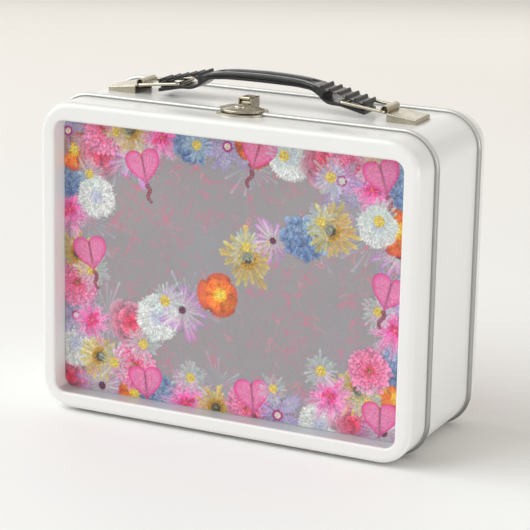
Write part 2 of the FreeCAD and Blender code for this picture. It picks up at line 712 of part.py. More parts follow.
def all_parts():
    """Every sub-part by its node name."""
    long_bead, short_bead = front_rim_beads()
    parts = {
        "body_band": body_band(),
        "rear_shell": rear_shell(),
        "front_rim_bead": long_bead,
        "front_rim_bead_foot": short_bead,
        "rear_rim_bead": rear_rim_bead(),
        "front_lid": front_lid(),
        "front_print_panel": front_print_panel(),
        "rear_print_panel": rear_print_panel(),
        "latch_base_plate": latch_base_plate(),
        "latch_housing": latch_housing(),
        "latch_pin": latch_pin(),
        "latch_lever": latch_lever(),
        "latch_strike": latch_strike(),
        "handle_grip": handle_grip(),
    }
    for side, word in ((-1, "left"), (1, "right")):
        parts[word + "_handle_bracket"] = handle_bracket(side)
        parts[word + "_handle_link"] = handle_link(side)
        parts[word + "_hinge_case_leaf"] = case_leaf(side)
        parts[word + "_hinge_lid_leaf"] = lid_leaf(side)
        parts[word + "_hinge_pin"] = hinge_pin(side)
    leaf_low = BASE_Z - LEAF_T
    for number, x in enumerate(hinge_rivet_places(), 1):
        parts["hinge_case_rivet_%d" % number] = rivet(x, case_rivet_y(), leaf_low, LEAF_T + SHEET, False)
        parts["hinge_lid_rivet_%d" % number] = rivet(x, lid_rivet_y(), leaf_low, LEAF_T + SHEET, False)
    for number, x in enumerate(latch_rivet_places(), 1):
        parts["latch_plate_rivet_%d" % number] = rivet(
            x, latch_rivet_y(), TOP_Z + PLATE_T, PLATE_T + SHEET, True)
    for number, x in enumerate(STRIKE_RIVET_X, 1):
        head = TOP_Z + STRIKE_T
        parts["latch_strike_rivet_%d" % number] = rivet(x, strike_rivet_y(), head, STRIKE_T + SHEET, True)
    return parts


def main():
    os.makedirs("parts", exist_ok=True)
    for name, shape in all_parts().items():
        shape.exportStep("parts/%s.step" % name)
        bounds = shape.BoundBox
        print(
            "%-22s valid %s solids %d volume %9.2f x %.1f..%.1f y %.1f..%.1f z %.1f..%.1f" % (
                name, shape.isValid(), len(shape.Solids), shape.Volume,
                bounds.XMin, bounds.XMax, bounds.YMin, bounds.YMax, bounds.ZMin, bounds.ZMax,
            )
        )


main()
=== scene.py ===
import math

import bpy
import numpy as np
from mathutils import Matrix, Vector


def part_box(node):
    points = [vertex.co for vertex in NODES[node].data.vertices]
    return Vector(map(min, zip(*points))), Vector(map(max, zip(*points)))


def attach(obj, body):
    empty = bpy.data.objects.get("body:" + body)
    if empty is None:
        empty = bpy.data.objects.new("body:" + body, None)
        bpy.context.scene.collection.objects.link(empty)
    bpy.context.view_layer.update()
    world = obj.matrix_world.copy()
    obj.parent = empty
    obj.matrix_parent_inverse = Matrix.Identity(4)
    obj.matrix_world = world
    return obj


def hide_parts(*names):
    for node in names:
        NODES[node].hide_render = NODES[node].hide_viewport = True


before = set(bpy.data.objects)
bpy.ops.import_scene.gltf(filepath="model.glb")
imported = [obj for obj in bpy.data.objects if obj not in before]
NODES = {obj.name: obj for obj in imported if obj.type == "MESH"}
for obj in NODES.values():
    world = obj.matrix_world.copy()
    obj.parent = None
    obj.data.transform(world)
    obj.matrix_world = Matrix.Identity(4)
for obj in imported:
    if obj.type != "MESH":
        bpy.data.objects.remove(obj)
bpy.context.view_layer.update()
MM = 0.001

# The camera: its place is in the row frame, in millimetres, and its angles are in degrees.
CAMERA_AZIMUTH = 25.684
CAMERA_ELEVATION = 15.067
CAMERA_ROLL = 1.130
CAMERA_PLACE = (516.22, -1067.00, 402.24)
CAMERA_LENS = 157.3
SENSOR = 36.0

# The handle's side view, in millimetres, as (x, height above the case's top). A slot at SLOT_X parts
# each end into an upper and a lower jaw.
HANDLE_TOP = [(0, 16.8), (9, 16.6), (22.5, 15.8), (33, 13.9), (47.5, 10.4), (60, 7.5)]
GRIP_UNDER = [(0, 12.5), (12, 12.4), (24, 11.9), (30.2, 10.9), (33.2, 9.1), (36.4, 6.8)]
JAW_UNDER = [(36, 9.9), (37.5, 11.1), (50, 8.9), (60, 6.5)]
LOWER_JAW_TOP = [(34.6, 9.5), (37.5, 8.0), (46.6, 6.45), (59.4, 4.05)]
LOWER_JAW_UNDER = [(34.6, 8.2), (36.4, 6.8), (46.8, 4.8), (59.4, 2.0)]
SLOT_X = 36.0
JAW_END = 60.0
JAW_HALF_W = 8.0
JAW_ROUND = 2.0
JAW_START = 31.0
JAW_SINK = 0.3
JAW_NARROWING = 0.55
GRIP_HALF_W = 6.8
GRIP_EDGE_R = 1.1
JAW_EDGE_SHARPER = 0.4
FLARE = (22.0, 36.0)
CHANNEL = 1.0
CHANNEL_END = 31.0
WAIST = 0.9
WAIST_END = 33.0
FADE = 6.0
GRIP_STATIONS = 601
JAW_STATIONS = 90
RIB_FIRST = 35.0
RIB_PITCH = 4.8
RIBS = 6
RIB_PROUD = 1.6
RIB_HALF_L = 0.85
HANDLE_Y = 3.0
STOP_X = 57.6
STOP_HALF_L = 1.0
STOP_HALF_W = 6.0
STOP_LEVELS = (4.0, 7.5)
SMALL_EDGE_R = 0.5
STOP_EDGE_R = 0.4
HANDLE_CREASE = 48.0

# The latch's cap, in millimetres: its radius, the half width of its back edge, and its rolled rim.
# The boss stands on it, BOSS_BACK behind the cap's front edge.
CAP_R = 12.8
CAP_TIP = 12.5
CAP_RISE = 2.6
CAP_RIM = 0.75
CAP_WIRE_R = 0.42
WIRE_INSET = 0.1
BOSS_R = 3.4
BOSS_RISE = 1.3
BOSS_BACK = 7.3
BOSS_ROOT = 1.6
BOSS_SHOULDER = 0.3
LATHE_TURNS = 48
RIM_STATIONS = 60
RIM_RING = 10
CAP_CREASE = 50.0

# The prints, in millimetres: the grid's step, the sheet's corner radius and the places of the flowers
PRINT_STEP = 0.4
PRINT_CORNER = 5.7
FRONT_SEED = 3
REAR_SEED = 8
EDGE_INSET = 5.0
EDGE_PITCH = 18.0
CORNER_OFFSETS = ((17, 16), (35, 13), (12, 33))
SASH_COUNT = 8
SASH_REACH = 0.6
SASH_RISE = 0.5
SASH_WAVE = 0.1
SPOT_JITTER = 3.5
HEART_GAP = 58.0
HEART_SIZE = 10
STAR_SIZE = 15
PEN_LINES = 900
PEN_LINES_ON_TOP = 18
PEN_PITCH = 0.45
PAPER_GRAIN = 2.2
FLECK_CELLS = 2

# Colours as sRGB, 0 to 255
GREY = (149, 145, 149)
ROSE_LINE = (214, 112, 140)
CORAL_LINE = (214, 140, 148)
GROUND_TINTS = ((172, 144, 154), (146, 152, 160), (160, 154, 150))
ENAMEL = (232, 231, 229)
ENAMEL_WORN = (206, 204, 200)
# The ledge grey is a painted reflection of the grey print in the front recess's lower wall, and painted shade
# of the recess.
LEDGE_PAINTED_REFLECTION_GREY = (188, 192, 195)

# The studio: the floor's size and the lamps' places and targets are in metres, and their power in watts.
FLOOR_SIZE = 9.0
FLOOR_NEAR = ((250, 250, 250), (248, 248, 248))
# The floor's far colour and its fade are painted shade: darker and warmer behind the object, where the light
# falls off.
FLOOR_FAR_PAINTED_SHADE = (221, 216, 211)
FLOOR_PAINTED_SHADE_FADE = (-0.25, 1.0)
KEY_STRENGTH = 2.36
KEY_SPREAD = 64.0
KEY_COLOUR = (0.92, 0.975, 1.0)
KEY_DIRECTION = (0.95, 0.55, -0.9)
LAMPS = (
    ("front fill", (0.5, -2.2, 0.4), (0, 0, 0.09), (1.6, 0.8), 2.5, (0.98, 0.99, 1.0)),
    ("side fill", (2.1, -0.4, 0.2), (0, 0, 0.09), (1.4, 0.35), 13, (0.95, 0.98, 1.0)),
    ("rear glow", (-0.55, 1.25, 0.55), (0, 0, 0.15), (2.2, 0.8), 4.0, (1.0, 0.99, 0.97)),
)
SURROUND_COLOUR = (1, 0.95, 0.87, 1)
SURROUND_STRENGTH = 0.5


# ---------------------------------------------------------------- printed sheets

class Print:
    """A printed sheet as a grid of points, each with a colour, on which flowers are painted in layers."""

    def __init__(self, width, height, step, seed):
        columns = round(width / step) + 1
        rows = round(height / step) + 1
        across = np.linspace(-width / 2, width / 2, columns)
        up = np.linspace(-height / 2, height / 2, rows)
        past = np.maximum(np.abs(up) - (height / 2 - PRINT_CORNER), 0)
        inset = PRINT_CORNER - np.sqrt(np.maximum(PRINT_CORNER ** 2 - past ** 2, 0))
        self.rng = np.random.default_rng(seed)
        self.x = across[None, :] * (1 - inset / (width / 2))[:, None]
        self.z = np.repeat(up[:, None], columns, axis=1)
        self.across = across
        self.up = up
        self.step = step
        self.rgb = np.ones((rows, columns, 3)) * np.array(GREY)

    def around(self, x, z, reach):
        """The window of the grid within reach of a point, and each point's offset from it."""
        columns = np.flatnonzero(np.abs(self.across - x) < reach)
        rows = np.flatnonzero(np.abs(self.up - z) < reach)
        if columns.size == 0 or rows.size == 0:
            return None, None, None
        window = (slice(rows[0], rows[-1] + 1), slice(columns[0], columns[-1] + 1))
        return window, self.x[window] - x, self.z[window] - z

    def lay(self, window, colour, cover):
        """Lays a colour over a window, covering what is there by 0 to 1."""
        cover = np.clip(cover, 0, 1)[..., None]
        self.rgb[window] = self.rgb[window] * (1 - cover) + np.asarray(colour, dtype=float) * cover

    def inside(self, margin):
        """How far each point of the grid's window is inside a shape, as a soft 0 to 1 edge."""
        return np.clip(margin / self.step + 0.5, 0, 1)


def blend(first, second, share):
    """A colour share of the way from the first to the second, at each point."""
    share = np.clip(share, 0, 1)[..., None]
    return np.asarray(first, dtype=float) * (1 - share) + np.asarray(second, dtype=float) * share


def petals(sheet, x, z, radius, count, colours, turn=0.0, width=1.0, point=2.0, dip=0.25, base=0.0,
           cover=1.0, ragged=0.0, uneven=0.06, streaks=0.12, shade=0.0):
    """One ring of petals. colours are the base's, the tip's and the rim's; width is 1 where petals touch."""
    base_colour, tip_colour, rim_colour = colours
    window, dx, dz = sheet.around(x, z, radius * 1.25)
    if window is None:
        return
    distance = np.hypot(dx, dz)
    angle = np.arctan2(dz, dx)
    phase = (angle - turn) * count / (2 * math.pi)
    which = np.round(phase).astype(int)
    across = 2 * (phase - which)
    length = 1 + uneven * sheet.rng.normal(size=count)
    lean = 0.12 * sheet.rng.normal(size=count)
    tone = 1 + 0.07 * sheet.rng.normal(size=count)
    length = length[which % count]
    across = across + lean[which % count] * distance / radius
    frill = ragged * np.sin(angle * 61 + 3 * which) * np.sin(angle * 23 + turn)
    outline = radius * length * (1 - dip * np.abs(across) ** point + frill)
    along = distance / outline
    share = np.clip((along - base) / (1 - base), 0, 1)
    half = width * np.clip(4 * share * (1 - share * 0.75), 0, 1) ** 0.5
    gap = (half - np.abs(across)) * distance * math.pi / count
    touching = width >= 1
    mask = sheet.inside(outline - distance) * (1.0 if touching else sheet.inside(gap))
    mask = mask * sheet.inside(distance - base * radius)
    vein = np.sin(across * 9 + which * 2.1) * np.sin(across * 4 + which) * streaks
    colour = blend(base_colour, tip_colour, share + vein)
    colour = blend(colour, rim_colour, np.clip((along - 0.86) / 0.14, 0, 1) * 0.8)
    fold = 1 - 0.28 * np.abs(across) ** 4 if touching else 1 - 0.12 * np.abs(across)
    if shade > 0:
        under = np.clip((radius * 1.12 - distance) / (0.16 * radius), 0, 1)
        sheet.lay(window, (96, 60, 84), under * shade * sheet.inside(distance - base * radius))
    sheet.lay(window, colour * (fold * tone[which % count])[..., None], mask * cover)


def disc(sheet, x, z, radius, inner, outer, speckle=0.1, cover=1.0):
    """A round centre of a flower, speckled with stamens."""
    window, dx, dz = sheet.around(x, z, radius * 1.3)
    if window is None:
        return
    distance = np.hypot(dx, dz)
    angle = np.arctan2(dz, dx)
    edge = radius * (1 + 0.06 * np.sin(7 * angle + x))
    grain = 1 + speckle * sheet.rng.normal(size=distance.shape)
    colour = blend(inner, outer, distance / radius) * grain[..., None]
    sheet.lay(window, np.clip(colour, 0, 255), sheet.inside(edge - distance) * cover)


def mottle(sheet, x, z, reach, amount):
    """Fine light and dark flecks over a flower, in the ink."""
    window, dx, dz = sheet.around(x, z, reach)
    if window is None:
        return
    rows, columns = dx.shape
    coarse = sheet.rng.normal(size=(rows // FLECK_CELLS + 2, columns // FLECK_CELLS + 2))
    grain = np.kron(coarse, np.ones((FLECK_CELLS, FLECK_CELLS)))[:rows, :columns]
    grain = grain + 0.6 * sheet.rng.normal(size=dx.shape)
    inside = np.clip((reach - np.hypot(dx, dz)) / (0.15 * reach), 0, 1)
    flecked = sheet.rgb[window] + (grain * inside * amount)[..., None]
    sheet.rgb[window] = np.clip(flecked, 0, 255)


def pompon(sheet, x, z, size, turn):
    """A full pink flower of many small petals."""
    for layer in range(12):
        share = layer / 11
        radius = size * (1 - 0.86 * share)
        tip = (238 + 8 * share, 128 - 44 * share, 176 - 44 * share)
        base = (220 - 6 * share, 66, 126 - 16 * share)
        petals(sheet, x, z, radius, 27 - layer, (base, tip, (246, 168, 202)), turn + 2.4 * layer,
               dip=0.12, uneven=0.05, streaks=0.4, shade=0.1, cover=0.93)
    petals(sheet, x, z, size * 0.2, 9, ((150, 110, 70), (222, 60, 90), (214, 80, 100)), turn, uneven=0.3)
    disc(sheet, x, z, size * 0.08, (140, 140, 84), (176, 84, 84), 0.25)
    mottle(sheet, x, z, size, 9)


def carnation(sheet, x, z, size, turn):
    """A loose pink flower with fringed pale edges and a deep heart."""
    for layer in range(6):
        share = layer / 5
        radius = size * (1.0 - 0.66 * share)
        tip = (228 + 14 * share, 176 - 86 * share, 214 - 40 * share)
        petals(sheet, x, z, radius, 10 - layer, ((226, 84, 156), tip, (226, 200, 218)), turn + 0.9 * layer,
               ragged=0.16, uneven=0.16, dip=0.5, point=1.6, cover=0.5 + 0.4 * share, streaks=0.9)
    petals(sheet, x, z, size * 0.3, 7, ((214, 40, 88), (236, 64, 130), (246, 120, 170)), turn, width=0.55,
           uneven=0.4, dip=0.1)
    disc(sheet, x, z, size * 0.07, (232, 150, 90), (216, 60, 80), 0.2)
    mottle(sheet, x, z, size, 9)


def rose(sheet, x, z, size, turn):
    """A rose: a few wide pale petals outside, wound tighter and deeper towards the heart."""
    counts = (6, 5, 5, 5, 4, 4, 3, 3)
    for layer, count in enumerate(counts):
        share = layer / (len(counts) - 1)
        radius = size * (1.0 - 0.84 * share)
        tip = (222 + 18 * share, 150 - 84 * share, 176 - 74 * share)
        base = (196 + 20 * share, 112 - 70 * share, 142 - 60 * share)
        rim = (238, 184 - 84 * share, 204 - 76 * share)
        offset = 0.07 * size * share
        petals(sheet, x + offset, z + offset, radius, count, (base, tip, rim), turn + 1.9 * layer,
               dip=0.14, point=3, uneven=0.12, cover=0.6 + 0.35 * share, streaks=0.3,
               shade=0.12 + 0.2 * share)
    mottle(sheet, x, z, size, 8)


def puff(sheet, x, z, size, turn):
    """A white ball of very many fine petals, grey-blue at the heart."""
    disc(sheet, x, z, size * 0.93, (214, 216, 216), (206, 210, 208), 0.03, 0.9)
    for layer in range(10):
        radius = size * (1 - 0.085 * layer)
        petals(sheet, x, z, radius, 46 - 3 * layer, ((200, 204, 206), (224, 228, 226), (238, 240, 236)),
               turn + 0.5 * layer, dip=0.14, uneven=0.05, streaks=0.3, cover=0.6, shade=0.03)
    disc(sheet, x, z, size * 0.34, (172, 176, 204), (190, 194, 212), 0.05, 0.8)
    mottle(sheet, x, z, size, 11)


def daisy(sheet, x, z, size, turn, rays, colours, eye, eye_ring, eye_size, cover=0.85):
    """A daisy: separate rays about a round eye, some of them faded."""
    petals(sheet, x, z, size, rays, colours, turn, width=0.5, dip=0.5, base=0.1, cover=cover * 0.8,
           uneven=0.16, streaks=0.5)
    petals(sheet, x, z, size * 0.9, rays, colours, turn + math.pi / rays, width=0.36, dip=0.5, base=0.1,
           cover=cover * 0.6, uneven=0.2, streaks=0.5)
    disc(sheet, x, z, size * eye_size, eye, eye_ring, 0.14)
    mottle(sheet, x, z, size, 6)


def white_daisy(sheet, x, z, size, turn):
    """A daisy with pale green-white rays and a yellow eye."""
    daisy(sheet, x, z, size, turn, 21, ((184, 202, 198), (194, 216, 212), (216, 230, 226)), (206, 182, 92),
          (214, 184, 76), 0.3, 0.72)


def golden_daisy(sheet, x, z, size, turn):
    """A daisy with golden rays and a dark eye."""
    daisy(sheet, x, z, size, turn, 19, ((206, 156, 48), (222, 194, 76), (236, 222, 116)), (90, 76, 50),
          (196, 146, 44), 0.42)
    disc(sheet, x, z, size * 0.2, (126, 124, 92), (58, 50, 40), 0.3)


def plum_daisy(sheet, x, z, size, turn):
    """A daisy whose rays are white at the heart and plum at the tips."""
    daisy(sheet, x, z, size, turn, 15, ((226, 228, 220), (206, 134, 212), (196, 116, 210)), (104, 48, 84),
          (92, 40, 72), 0.16, 0.9)


def star(sheet, x, z, size, turn):
    """A pale flower of long thin rays, almost as see-through as smoke."""
    for share in (1.0, 0.8):
        petals(sheet, x, z, size * share, 15, ((170, 172, 194), (180, 188, 214), (204, 212, 230)),
               turn + share, width=0.2, dip=0.7, cover=0.4, uneven=0.3, streaks=0.6)


def bluebell(sheet, x, z, size, turn):
    """A ragged mauve flower with a white eye in a magenta ring."""
    petals(sheet, x, z, size * 1.05, 6, ((176, 160, 200), (170, 168, 204), (136, 112, 212)), turn, dip=0.55,
           point=1.5, cover=0.62, ragged=0.14, uneven=0.16, streaks=1.2)
    petals(sheet, x, z, size * 0.8, 11, ((192, 150, 214), (160, 140, 216), (176, 190, 224)), turn, width=0.26,
           dip=0.6, cover=0.7, uneven=0.25)
    disc(sheet, x, z, size * 0.23, (178, 36, 120), (164, 30, 126), 0.08)
    disc(sheet, x, z, size * 0.14, (216, 206, 176), (226, 206, 196), 0.12)
    mottle(sheet, x, z, size, 10)


def poppy(sheet, x, z, size, turn):
    """An orange poppy: crinkled petals about a yellow heart."""
    petals(sheet, x, z, size, 4, ((226, 108, 52), (220, 92, 52), (204, 62, 42)), turn, dip=0.1, point=4,
           ragged=0.05, uneven=0.1, streaks=1.0, cover=0.9)
    petals(sheet, x, z, size * 0.8, 4, ((244, 150, 44), (238, 112, 40), (228, 84, 42)), turn + 0.7, dip=0.1,
           point=4, ragged=0.06, uneven=0.1, streaks=0.8, cover=0.8)
    petals(sheet, x, z, size * 0.38, 18, ((250, 200, 60), (250, 186, 50), (240, 150, 40)), turn, dip=0.15)
    disc(sheet, x, z, size * 0.17, (206, 200, 90), (240, 206, 70), 0.12)
    mottle(sheet, x, z, size, 9)


def cluster(sheet, x, z, size, turn):
    """A blue head of many four-petalled florets, darker below."""
    florets = 46
    for number in range(florets):
        reach = size * 0.86 * math.sqrt((number + 0.5) / florets)
        angle = turn + number * math.pi * (3 - math.sqrt(5))
        fx = x + reach * math.cos(angle)
        fz = z + reach * math.sin(angle) * 0.86
        light = 0.45 + 0.55 * (fz - z) / size + 0.16 * sheet.rng.normal()
        tip = (112 + 48 * light, 144 + 44 * light, 190 + 26 * light)
        base = (60 + 50 * light, 88 + 56 * light, 138 + 46 * light)
        petals(sheet, fx, fz, size * 0.25, 4, (base, tip, tip), angle * 3, width=0.95, dip=0.3, uneven=0.16,
               cover=0.88, shade=0.12)
        disc(sheet, fx, fz, size * 0.03, (70, 92, 140), (60, 80, 130), 0.1)
    mottle(sheet, x, z, size, 12)


def drop_chain(sheet, x, z, size, heading):
    """The dark string of small drops under a heart-shaped bud."""
    for number in range(7):
        reach = size * (0.1 + 0.14 * number)
        bow = 0.1 * size * math.sin(number * 1.1)
        dx = x + reach * math.cos(heading) + bow
        dz = z + reach * math.sin(heading)
        disc(sheet, dx, dz, size * (0.13 - 0.006 * number), (176, 96, 112), (110, 48, 66), 0.15, 0.92)


def heart_flower(sheet, x, z, size, turn):
    """A heart-shaped pink bud with a dark outline and a string of drops hanging from it."""
    lean = 0.3 * math.sin(3 * turn)
    drop_chain(sheet, x + 0.9 * size * math.sin(lean), z - 0.8 * size, size, -math.pi / 2 + lean)
    window, dx, dz = sheet.around(x, z, size * 1.5)
    if window is None:
        return
    u = (dx * math.cos(lean) + dz * math.sin(lean)) / (size * 1.02)
    v = (dz * math.cos(lean) - dx * math.sin(lean)) / size + 0.12
    heart = 1 - u ** 2 - (1.25 * v - 0.8 * np.sqrt(np.abs(u))) ** 2
    edge = np.clip(heart / 0.45, 0, 1)
    tone = blend((232, 58, 146), (226, 122, 172), edge)
    tone = blend(tone, (198, 86, 140), np.clip(-v * 0.9, 0, 1))
    outline = np.exp(-(heart / 0.06) ** 2) * 0.5
    tone = blend(tone, (156, 44, 96), outline)
    crease = np.exp(-(u / 0.06) ** 2) * np.clip(v + 0.9, 0, 1)
    tone = blend(tone, (128, 60, 84), crease * 0.75)
    sheet.lay(window, tone, sheet.inside(heart * size * 0.5) * 0.95)
    mottle(sheet, x, z, size, 7)


def strand(sheet, start, heading, bend, sway, length, colour, cover):
    """A thin wandering line, laid down as a chain of soft dots."""
    x, z = start
    steps = int(length / 0.45)
    phase = sheet.rng.uniform(0, 6.28)
    for number in range(steps):
        window, dx, dz = sheet.around(x, z, 1.3)
        if window is not None:
            fade = math.sin(math.pi * (number + 0.5) / steps) ** 0.5
            sheet.lay(window, colour, np.exp(-(dx ** 2 + dz ** 2) / 0.16) * cover * fade)
        heading += bend + sway * math.sin(phase + number * 0.21)
        x += PEN_PITCH * math.cos(heading)
        z += PEN_PITCH * math.sin(heading)


def scribbles(sheet, half_w, half_h, count):
    """Faint pink pen lines over the grey ground, some of them in loose curls."""
    for number in range(count):
        start = (sheet.rng.uniform(-half_w, half_w), sheet.rng.uniform(-half_h, half_h))
        heading = sheet.rng.uniform(0, 6.28)
        bend = sheet.rng.choice([-1, 1]) * sheet.rng.uniform(0.0, 0.24)
        sway = sheet.rng.uniform(0.05, 0.5)
        cover = 0.16 + 0.55 * sheet.rng.uniform(0, 1) ** 2
        colour = ROSE_LINE if number % 4 else CORAL_LINE
        strand(sheet, start, heading, bend, sway, sheet.rng.uniform(3, 20), colour, cover)


def ground(sheet):
    """The grey ground, slightly clouded with pink and blue."""
    for number in range(26):
        x = sheet.rng.uniform(-95, 95)
        z = sheet.rng.uniform(-70, 70)
        reach = sheet.rng.uniform(14, 34)
        window, dx, dz = sheet.around(x, z, reach)
        tint = GROUND_TINTS[number % len(GROUND_TINTS)]
        if window is not None:
            near = np.clip(1 - np.hypot(dx, dz) / reach, 0, 1)
            sheet.lay(window, tint, near ** 2 * 0.3)


# The big flowers of the garland, each with its size in millimetres
BLOOMS = ((rose, 13), (plum_daisy, 13), (poppy, 12.5), (cluster, 13), (carnation, 14), (golden_daisy, 13),
          (pompon, 14), (bluebell, 13), (puff, 13))


def garland_spots(half_w, half_h):
    """Where the big flowers go: along the four edges, more of them in each corner, and a sash across."""
    spots = []
    in_w = half_w - EDGE_INSET
    in_h = half_h - EDGE_INSET
    for side in (-1, 1):
        spots += [(x, side * in_h) for x in np.arange(-in_w, in_w, EDGE_PITCH)]
        spots += [(side * in_w, z) for z in np.arange(EDGE_PITCH - in_h, in_h, EDGE_PITCH)]
        for up in (-1, 1):
            spots += [(side * (in_w - dx), up * (in_h - dz)) for dx, dz in CORNER_OFFSETS]
    for share in np.linspace(-1, 1, SASH_COUNT):
        up = SASH_RISE * share + SASH_WAVE * math.sin(4 * share)
        spots.append((SASH_REACH * half_w * share, half_h * up))
    return spots


def nearest(flowers, kind, x, z):
    """How far the nearest flower of one kind is from a place, in millimetres."""
    gaps = (math.hypot(flower[1] - x, flower[2] - z) for flower in flowers if flower[0] is kind)
    return min(gaps, default=math.inf)


def garland(rng, half_w, half_h):
    """The flowers of one sheet as (kind, x, z, size), from the bottom layer to the top one."""
    rays = []
    blooms = []
    small = []
    for number, (x, z) in enumerate(garland_spots(half_w, half_h)):
        x += rng.uniform(-SPOT_JITTER, SPOT_JITTER)
        z += rng.uniform(-SPOT_JITTER, SPOT_JITTER)
        kind, size = max(BLOOMS, key=lambda bloom: nearest(blooms, bloom[0], x, z))
        blooms.append((kind, x, z, size * rng.uniform(0.86, 1.08)))
        if number % 5 == 0:
            rays.append((star, 0.88 * x, 0.84 * z, STAR_SIZE))
        if number % 3 == 1:
            small.append((white_daisy, 0.9 * x, 0.9 * z + 7, rng.uniform(8, 10)))
        if number % 4 == 2 and nearest(small, heart_flower, x, z) > HEART_GAP:
            small.append((heart_flower, 0.94 * x + 3, 0.92 * z, HEART_SIZE))
    return rays + blooms + small


def paint(width, height, step, seed):
    """A sheet with grey ground, pen lines and a garland of flowers."""
    sheet = Print(width, height, step, seed)
    ground(sheet)
    scribbles(sheet, width / 2, height / 2, PEN_LINES)
    for number, (flower, x, z, size) in enumerate(garland(sheet.rng, width / 2, height / 2)):
        flower(sheet, x, z, size, number * 1.7 + seed)
    scribbles(sheet, width / 2, height / 2, PEN_LINES_ON_TOP)
    fine = sheet.rng.normal(size=sheet.rgb.shape[:2]) * PAPER_GRAIN
    sheet.rgb = np.clip(sheet.rgb + fine[..., None], 0, 255)
    return sheet


def linear(srgb):
    """Linear light from sRGB numbers of 0 to 255."""
    value = np.asarray(srgb, dtype=float) / 255
    return np.where(value <= 0.04045, value / 12.92, ((value + 0.055) / 1.055) ** 2.4)


def printed_panel(name, node, body, sheet, front, lacquer):
    """A thin metal panel in place of a plain one, with the print as a colour on each point of its face."""
    low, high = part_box(node)
    middle = (Vector(low) + Vector(high)) / 2
    face_y, back_y = (low[1], high[1]) if front else (high[1], low[1])
    side = 1 if front else -1
    rows, columns = sheet.x.shape
    face = np.empty((rows * columns, 3))
    face[:, 0] = middle.x + side * sheet.x.ravel() * MM
    face[:, 1] = face_y
    face[:, 2] = middle.z + sheet.z.ravel() * MM
    index = np.arange(rows * columns).reshape(rows, columns)
    corners = [index[:-1, :-1], index[:-1, 1:], index[1:, 1:], index[1:, :-1]]
    quads = np.stack(corners, axis=-1).reshape(-1, 4)
    loop = np.concatenate([index[0, :-1], index[:-1, -1], index[-1, :0:-1], index[:0:-1, 0]])
    back = face[loop].copy()
    back[:, 1] = back_y
    first = rows * columns
    count = len(loop)
    walls = [(loop[k], first + k, first + (k + 1) % count, loop[(k + 1) % count]) for k in range(count)]
    faces = quads.tolist() + [[int(v) for v in wall] for wall in walls]
    faces.append([first + k for k in reversed(range(count))])
    mesh = bpy.data.meshes.new(name)
    mesh.from_pydata(np.concatenate([face, back]).tolist(), [], faces)
    colours = np.ones((first + count, 4))
    colours[:first, :3] = linear(sheet.rgb).reshape(-1, 3)
    colours[first:, :3] = linear(GREY)
    attribute = mesh.color_attributes.new("print", "FLOAT_COLOR", "POINT")
    attribute.data.foreach_set("color", colours.ravel())
    panel = bpy.data.objects.new(name, mesh)
    bpy.context.scene.collection.objects.link(panel)
    mesh.materials.append(lacquer)
    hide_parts(node)
    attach(panel, body)


# ---------------------------------------------------------------- materials

def new_material(name):
    """A new material with its node tree and its shader."""
    mat = bpy.data.materials.new(name)
    mat.use_nodes = True
    return mat, mat.node_tree, mat.node_tree.nodes["Principled BSDF"]


def noise(tree, size_mm, stretch=(1, 1, 1), detail=4.0):
    """Noise whose features are about size_mm across, fixed to the object."""
    coords = tree.nodes.new("ShaderNodeTexCoord")
    mapping = tree.nodes.new("ShaderNodeMapping")
    mapping.inputs["Scale"].default_value = stretch
    texture = tree.nodes.new("ShaderNodeTexNoise")
    texture.inputs["Scale"].default_value = 1 / (size_mm * MM)
    texture.inputs["Detail"].default_value = detail
    tree.links.new(coords.outputs["Object"], mapping.inputs["Vector"])
    tree.links.new(mapping.outputs["Vector"], texture.inputs["Vector"])
    return texture.outputs["Fac"]


def spread(tree, value, low, high, start=0.3, end=0.7):
    """A value of start to end, spread over low to high."""
    node = tree.nodes.new("ShaderNodeMapRange")
    node.inputs["From Min"].default_value = start
    node.inputs["From Max"].default_value = end
    node.inputs["To Min"].default_value = low
    node.inputs["To Max"].default_value = high
    tree.links.new(value, node.inputs["Value"])
    return node.outputs["Result"]


def mix(tree, share, first, second):
    """A mix of two colours, each an sRGB triple or a socket."""
    node = tree.nodes.new("ShaderNodeMix")
    node.data_type = "RGBA"
    tree.links.new(share, node.inputs["Factor"])
    for socket, colour in ((node.inputs[6], first), (node.inputs[7], second)):
        if isinstance(colour, tuple):
            socket.default_value = (*linear(colour), 1)
        else:
            tree.links.new(colour, socket)
    return node.outputs[2]


def bump(tree, bsdf, heights):
    """Bumps one after another; heights holds (value, height in millimetres)."""
    normal = None
    for value, height in heights:
        node = tree.nodes.new("ShaderNodeBump")
        node.inputs["Distance"].default_value = height * MM
        tree.links.new(value, node.inputs["Height"])
        if normal is not None:
            tree.links.new(normal, node.inputs["Normal"])
        normal = node.outputs["Normal"]
    tree.links.new(normal, bsdf.inputs["Normal"])


def facing_up(tree, start, end):
    """0 to 1 as a surface turns from upright or downward to facing up."""
    coords = tree.nodes.new("ShaderNodeTexCoord")
    parts = tree.nodes.new("ShaderNodeSeparateXYZ")
    tree.links.new(coords.outputs["Normal"], parts.inputs["Vector"])
    return spread(tree, parts.outputs["Z"], 0, 1, start, end)


